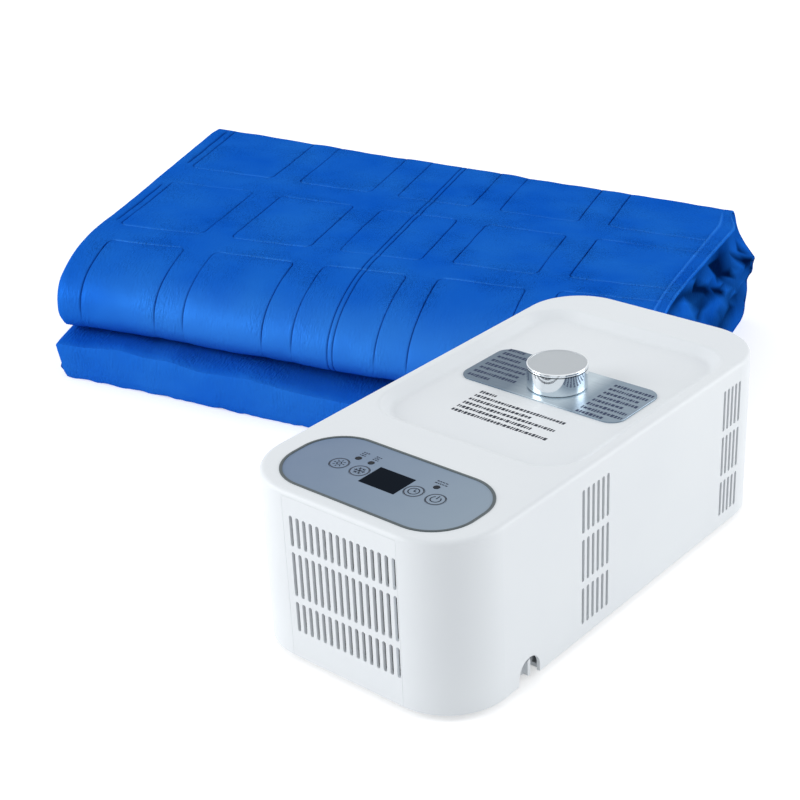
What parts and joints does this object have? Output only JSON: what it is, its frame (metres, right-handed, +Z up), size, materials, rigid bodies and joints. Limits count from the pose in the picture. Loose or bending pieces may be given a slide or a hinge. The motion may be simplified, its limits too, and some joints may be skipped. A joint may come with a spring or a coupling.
{
  "type": "water cooling mattress pad",
  "caption": "Table-top water cooling and heating unit with touch buttons, side and front grilles and a filler cap, beside its folded water-filled mattress pad.",
  "frame": {"origin": "on the floor, halfway along the overall width and depth of unit and pad", "axes": "+Z up; +Y runs from the unit's front grille to its back; +X to the unit's right as seen from its front"},
  "size_m": [0.8448, 0.709, 0.1494],
  "materials": {
    "housing_white": "satin moulded plastic",
    "rubber_grey": "matt rubber",
    "screw_steel": "plated steel",
    "bezel_dark": "satin dark grey",
    "panel_blue_grey": "matt membrane over the panel",
    "button_blue_grey": "matt, as the panel",
    "display_black": "gloss smoked window",
    "lamp_dark": "gloss, unlit",
    "board_green": "glass fibre board",
    "black_plastic": "moulded",
    "plate_metal": "fine brushed",
    "chrome": "mirror side, satin top",
    "tank_plastic": "milky moulded",
    "drain_white": "moulded",
    "supply_steel": "folded sheet",
    "sink_aluminium": "extruded",
    "module_white": "ceramic faced",
    "hose_clear": "silicone",
    "coupling_grey": "moulded",
    "pad_fabric": "coated nylon, welded cells"
  },
  "bodies": {
    "control_unit": {"main_housing": "housing_white", "front_panel": "housing_white", "base_plate": "housing_white", "rubber_feet": "rubber_grey", "base_screws": "screw_steel", "inlet_pins": "screw_steel", "control_bezel": "bezel_dark", "control_panel": "panel_blue_grey", "display_window": "display_black", "status_lamps": "lamp_dark", "control_board": "board_green", "display_module": "black_plastic", "push_switches": "black_plastic", "power_inlet": "black_plastic", "fan_frame": "black_plastic", "pump_housing": "black_plastic", "filler_plate": "plate_metal", "tank_lid": "tank_plastic", "tank_body": "tank_plastic", "level_stem": "tank_plastic", "drain_seat": "drain_white", "power_supply": "supply_steel", "heat_sink": "sink_aluminium", "water_block": "sink_aluminium", "cooling_modules": "module_white", "suction_hose": "hose_clear", "pressure_hose": "hose_clear", "outlet_hose": "hose_clear", "return_hose": "hose_clear", "drain_hose": "hose_clear", "outlet_coupling": "coupling_grey", "inlet_coupling": "coupling_grey"},
    "heat_key": {"heat_button": "button_blue_grey"},
    "cool_key": {"cool_button": "button_blue_grey"},
    "timer_key": {"timer_button": "button_blue_grey"},
    "power_key": {"power_button": "button_blue_grey"},
    "cap_seal": {"cap_gasket": "rubber_grey"},
    "cap": {"tank_cap": "chrome"},
    "drain_stopper": {"drain_plug": "drain_white"},
    "fan": {"fan_rotor": "black_plastic"},
    "impeller": {"pump_impeller": "tank_plastic"},
    "float": {"level_float": "tank_plastic"},
    "mattress_pad": {"folded_pad": "pad_fabric", "pad_inlet_port": "coupling_grey", "pad_outlet_port": "coupling_grey"}
  },
  "joints": [
    {"name": "heat_press", "type": "slide", "parent": "control_unit", "child": "heat_key", "axis": [0, 0, -1], "range_m": [0, 0.0006], "stiffness_N_per_m": 1500},
    {"name": "cool_press", "type": "slide", "parent": "control_unit", "child": "cool_key", "axis": [0, 0, -1], "range_m": [0, 0.0006], "stiffness_N_per_m": 1500},
    {"name": "timer_press", "type": "slide", "parent": "control_unit", "child": "timer_key", "axis": [0, 0, -1], "range_m": [0, 0.0006], "stiffness_N_per_m": 1500},
    {"name": "power_press", "type": "slide", "parent": "control_unit", "child": "power_key", "axis": [0, 0, -1], "range_m": [0, 0.0006], "stiffness_N_per_m": 1500},
    {"name": "cap_lift", "type": "slide", "parent": "control_unit", "child": "cap_seal", "axis": [0, 0, 1], "range_m": [0, 0.06]},
    {"name": "cap_turn", "type": "hinge", "parent": "cap_seal", "child": "cap", "pos_m": [0.32442, -0.10945, 0.14], "axis": [0, 0, 1], "range_deg": [0, 360]},
    {"name": "drain_pull", "type": "slide", "parent": "control_unit", "child": "drain_stopper", "axis": [1, 0, 0], "range_m": [0, 0.03]},
    {"name": "fan_spin", "type": "hinge", "parent": "control_unit", "child": "fan", "pos_m": [0.32442, -0.33545, 0.073], "axis": [0, 1, 0], "continuous": true},
    {"name": "impeller_spin", "type": "hinge", "parent": "control_unit", "child": "impeller", "pos_m": [0.36642, -0.19045, 0.046], "axis": [0, 1, 0], "continuous": true},
    {"name": "float_rise", "type": "slide", "parent": "control_unit", "child": "float", "axis": [0, 0, 1], "range_m": [0, 0.04]},
    {"name": "pad_lift", "type": "slide", "parent": "control_unit", "child": "mattress_pad", "axis": [0, 0, 1], "range_m": [0, 0.3]}
  ]
}
